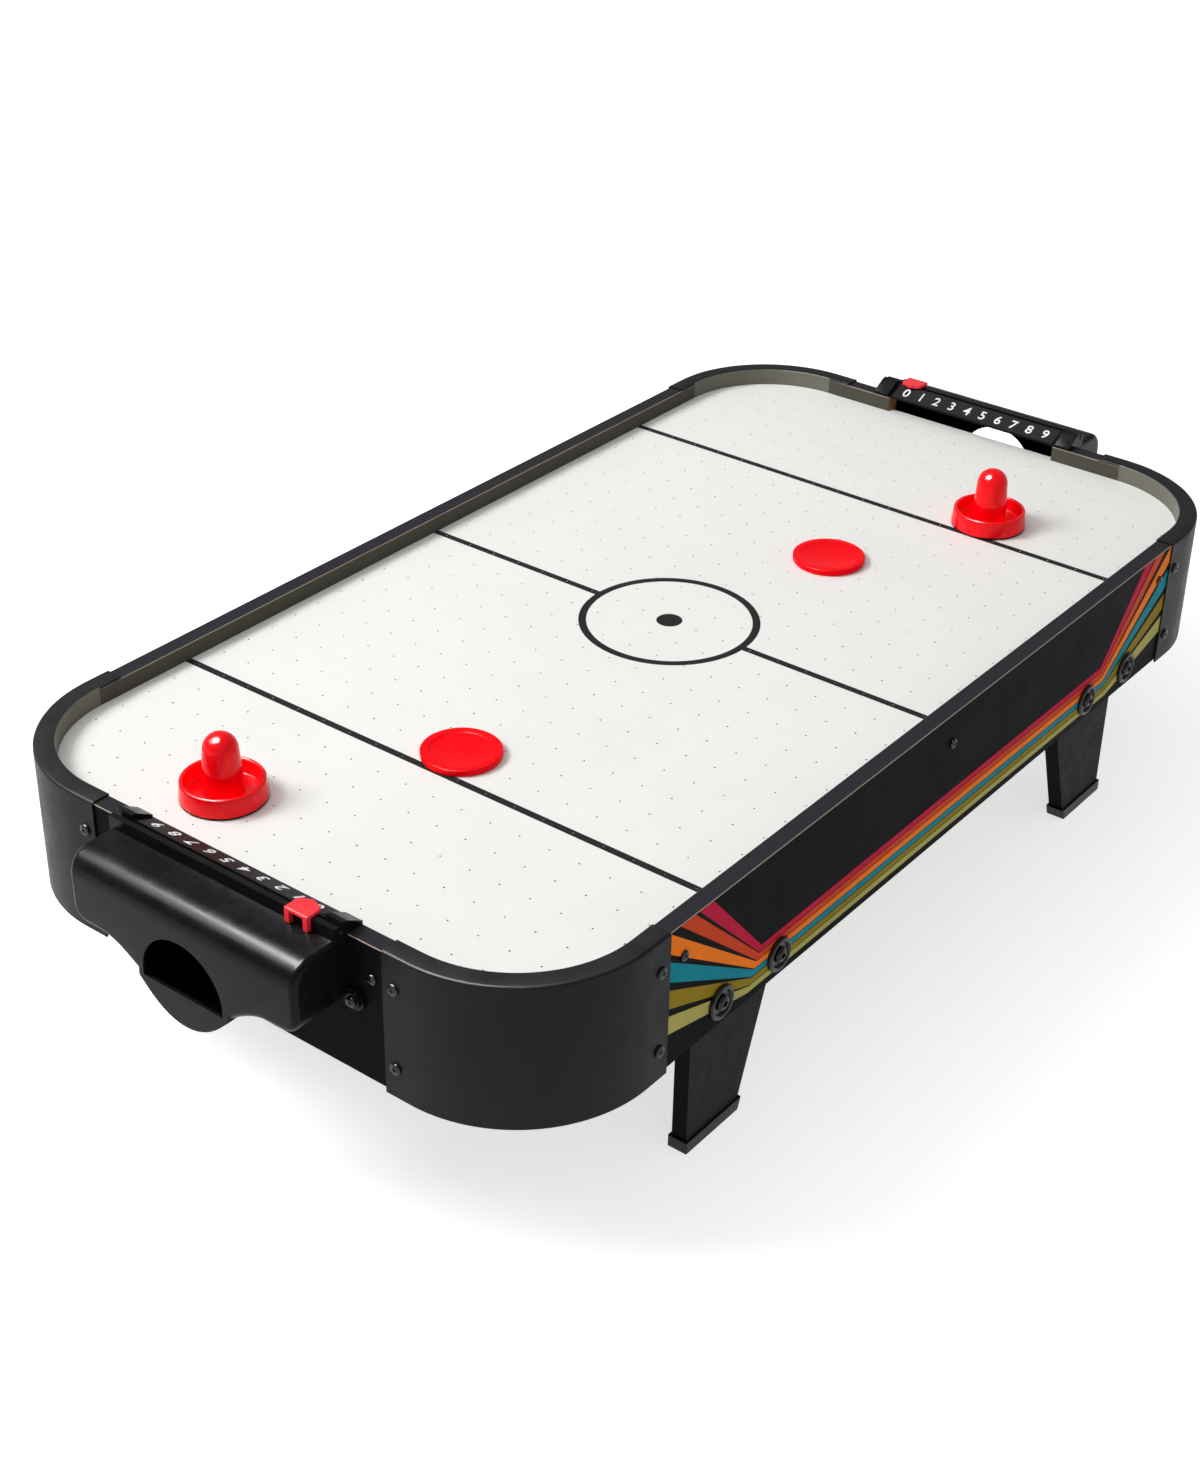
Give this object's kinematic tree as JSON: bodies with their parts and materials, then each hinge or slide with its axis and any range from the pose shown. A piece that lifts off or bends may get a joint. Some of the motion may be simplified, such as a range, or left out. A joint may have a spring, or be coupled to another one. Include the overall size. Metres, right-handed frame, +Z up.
{
  "type": "tabletop air hockey table",
  "caption": "Low tabletop air hockey table with rounded corner guards, perforated field, goal boxes with sliding scorers, board legs, pushers and pucks.",
  "frame": {"origin": "on the floor under the middle of the table", "axes": "+X along the length towards the far goal, +Y across towards the switch side, +Z up"},
  "size_m": [1.004, 0.5034, 0.247],
  "materials": {
    "field_white": "smooth white laminate with printed grey lines",
    "board_black": "black laminated fibreboard with raw cut edges",
    "guard_plastic": "fine grained moulded plastic",
    "raw_wood": "raw softwood",
    "hardboard": "dark hardboard",
    "box_plastic": "satin black moulded plastic",
    "strip_print": "printed score strip, digits 0 to 9",
    "red_plastic": "glossy red moulded plastic",
    "slider_red": "coral red moulded plastic",
    "felt": "thin black felt",
    "leg_board": "speckled dark laminate",
    "foot_plastic": "black moulded plastic",
    "dark_screw": "black nickel plated",
    "bolt_black": "black zinc plated",
    "washer_plastic": "semi-gloss black",
    "zinc": "zinc plated",
    "steel": "ground steel",
    "fan_plastic": "black moulded plastic",
    "motor_metal": "coated laminations",
    "switch_plastic": "glossy black switch plastic"
  },
  "bodies": {
    "table": {"apron_screws": "dark_screw", "bottom_panel": "hardboard", "bottom_panel_screws": "zinc", "corner_guard_back_left": "guard_plastic", "corner_guard_back_right": "guard_plastic", "corner_guard_front_left": "guard_plastic", "corner_guard_front_right": "guard_plastic", "corner_guard_screws": "dark_screw", "end_apron_left": "board_black", "end_apron_right": "board_black", "fan_grille": "fan_plastic", "fan_housing": "fan_plastic", "fan_motor": "motor_metal", "fan_screws": "dark_screw", "foot_cap_back_left": "foot_plastic", "foot_cap_back_right": "foot_plastic", "foot_cap_front_left": "foot_plastic", "foot_cap_front_right": "foot_plastic", "goal_box_left": "box_plastic", "goal_box_right": "box_plastic", "goal_box_screws": "dark_screw", "leg_back_left": "leg_board", "leg_back_right": "leg_board", "leg_bolts": "bolt_black", "leg_cup_washers": "washer_plastic", "leg_front_left": "leg_board", "leg_front_right": "leg_board", "leg_nuts": "zinc", "playfield": "field_white", "plenum_corner_blocks": "raw_wood", "plenum_rail_back": "raw_wood", "plenum_rail_front": "raw_wood", "plenum_rail_left": "raw_wood", "plenum_rail_right": "raw_wood", "power_inlet": "switch_plastic", "power_switch_body": "switch_plastic", "score_strip_left": "strip_print", "score_strip_right": "strip_print", "side_apron_back": "board_black", "side_apron_front": "board_black"},
    "score_slider_left": {"score_slider_left": "slider_red"},
    "score_slider_right": {"score_slider_right": "slider_red"},
    "fan_rotor": {"fan_impeller": "fan_plastic", "fan_shaft": "steel"},
    "switch_rocker": {"power_switch_rocker": "switch_plastic"},
    "pusher_left": {"pusher_left": "red_plastic", "pusher_felt_left": "felt"},
    "pusher_right": {"pusher_right": "red_plastic", "pusher_felt_right": "felt"},
    "puck_left": {"puck_left": "red_plastic"},
    "puck_right": {"puck_right": "red_plastic"}
  },
  "joints": [
    {"name": "score_left", "type": "slide", "parent": "table", "child": "score_slider_left", "axis": [0, 1, 0], "range_m": [0, 0.1395]},
    {"name": "score_right", "type": "slide", "parent": "table", "child": "score_slider_right", "axis": [0, -1, 0], "range_m": [0, 0.1395]},
    {"name": "fan_spin", "type": "hinge", "parent": "table", "child": "fan_rotor", "pos_m": [0, 0, 0.14], "axis": [0, 0, 1], "continuous": true},
    {"name": "power_rock", "type": "hinge", "parent": "table", "child": "switch_rocker", "pos_m": [0.06, 0.2457, 0.136], "axis": [1, 0, 0], "range_deg": [0, 20]},
    {"name": "pusher_left_glide", "type": "slide", "parent": "table", "child": "pusher_left", "axis": [1, 0, 0], "range_m": [-0.02, 0.33]},
    {"name": "pusher_right_glide", "type": "slide", "parent": "table", "child": "pusher_right", "axis": [1, 0, 0], "range_m": [-0.25, 0.1]},
    {"name": "puck_left_glide", "type": "slide", "parent": "table", "child": "puck_left", "axis": [1, 0, 0], "range_m": [-0.16, 0.2]},
    {"name": "puck_right_glide", "type": "slide", "parent": "table", "child": "puck_right", "axis": [1, 0, 0], "range_m": [-0.11, 0.24]}
  ]
}
